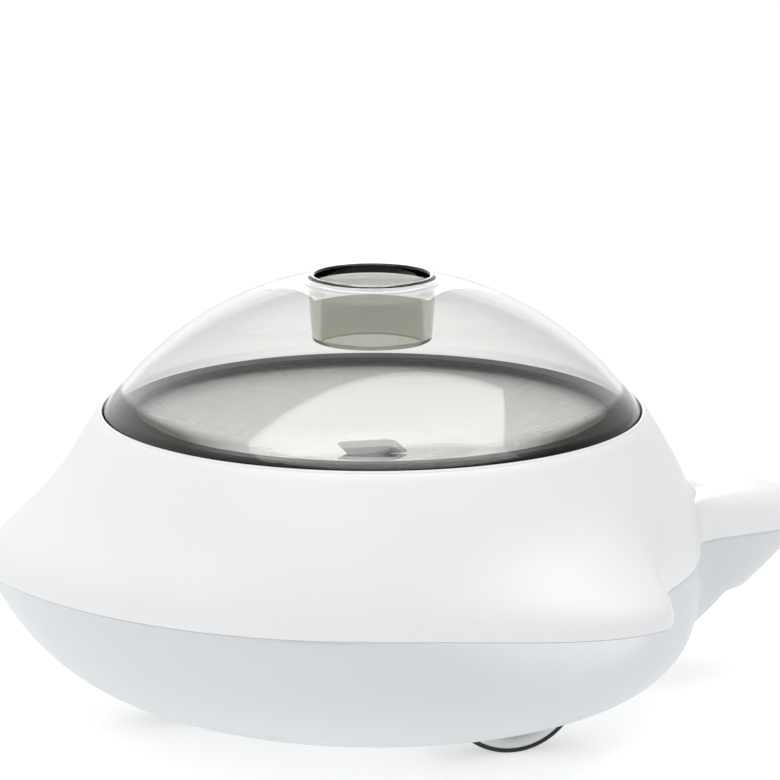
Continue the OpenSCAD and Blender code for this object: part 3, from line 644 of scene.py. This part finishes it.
def make_floor():
    """A pale floor that glows a little, so that it comes out nearly as white as the backdrop."""
    half = 6.0
    corners = [(-half, -half, 0), (half, -half, 0), (half, half, 0), (-half, half, 0)]
    mesh = bpy.data.meshes.new("floor")
    mesh.from_pydata(corners, [], [(0, 1, 2, 3)])
    floor = bpy.data.objects.new("floor", mesh)
    bpy.context.scene.collection.objects.link(floor)
    material, tree, shader = new_material("floor_pale")
    connect(tree, shader, {
        "Base Color": marks(tree, noise(tree, 2, 3), grey(0.62), grey(0.64)),
        "Roughness": 0.9,
        "Emission Color": (1, 1, 1, 1),
        "Emission Strength": 0.57,
    })
    floor.data.materials.append(material)


def area_light(name, place, target, size, power):
    light = bpy.data.lights.new(name, "AREA")
    light.shape = "RECTANGLE"
    light.size, light.size_y = size
    light.energy = power
    lamp = bpy.data.objects.new(name, light)
    lamp.location = place
    lamp.rotation_euler = (Vector(target) - Vector(place)).to_track_quat("-Z", "Y").to_euler()
    bpy.context.scene.collection.objects.link(lamp)
    return lamp


def make_sky():
    """Soft light from all round: brighter behind the part, dimmer at the tail's side, and a white backdrop."""
    world = bpy.data.worlds.new("studio")
    bpy.context.scene.world = world
    world.use_nodes = True
    tree = world.node_tree
    place = add_node(tree, "TexCoord", {}).outputs["Generated"]
    direction = add_node(tree, "SeparateXYZ", {"Vector": place}).outputs
    far = tint(tree, fade(tree, direction["Y"], -0.6, 0.6), (0.42, 0.42, 0.43), (1.15, 1.16, 1.17))
    tail_side = tint(tree, fade(tree, direction["X"], 0.4, 0.95), (1, 1, 1), (0.55, 0.56, 0.57))
    above = tint(tree, fade(tree, direction["X"], -1, 1), (0.74, 0.74, 0.75), (0.54, 0.55, 0.56))
    sky = mix(tree, fade(tree, direction["Z"], 0.1, 0.75), multiply(tree, far, tail_side), above)
    seen = add_node(tree, "LightPath", {}).outputs["Is Camera Ray"]
    connect(tree, tree.nodes["Background"], {"Color": mix(tree, seen, sky, (1, 1, 1, 1))})


def make_lamps():
    """A softbox over the part's front, and a strip behind the part that is there for its reflection alone."""
    softbox_x, softbox_y, softbox_z = BODY_X - 0.03, -0.24, RING_Z + 0.9
    softbox = area_light("softbox", (softbox_x, softbox_y, softbox_z), (softbox_x, softbox_y, 0),
                         (1.45, 0.5), 7.0)
    softbox.rotation_euler.z += math.radians(4)
    strip = area_light("backlight", (BODY_X + 0.36, 1.4, RING_Z + 0.6), (BODY_X, 0, RING_Z + 0.03),
                       (0.56, 0.98), 5)
    strip.visible_diffuse = False
    strip.visible_transmission = False


def make_camera():
    """The photograph's view: angle, distance to a point on the dome's axis and where it lies in the picture."""
    azimuth, elevation = math.radians(-14.4), math.radians(13)
    distance_m, aim_z = 0.889, 85 * MM
    picture, aim_px = 780, (372, 410)
    px_per_m = 3600
    sensor = 36
    data = bpy.data.cameras.new("camera")
    data.sensor_width = sensor
    data.lens = sensor * distance_m * px_per_m / picture
    data.shift_x = (picture / 2 - aim_px[0]) / picture
    data.shift_y = (aim_px[1] - picture / 2) / picture
    camera = bpy.data.objects.new("camera", data)
    back = Vector((math.sin(azimuth) * math.cos(elevation), -math.cos(azimuth) * math.cos(elevation),
                   math.sin(elevation)))
    camera.location = Vector((BODY_X, 0, aim_z)) + back * distance_m
    camera.rotation_euler = (-back).to_track_quat("-Z", "Y").to_euler()
    bpy.context.scene.collection.objects.link(camera)
    bpy.context.scene.camera = camera


make_floor()
make_sky()
make_lamps()
make_camera()
bpy.context.scene.view_settings.view_transform = "Standard"
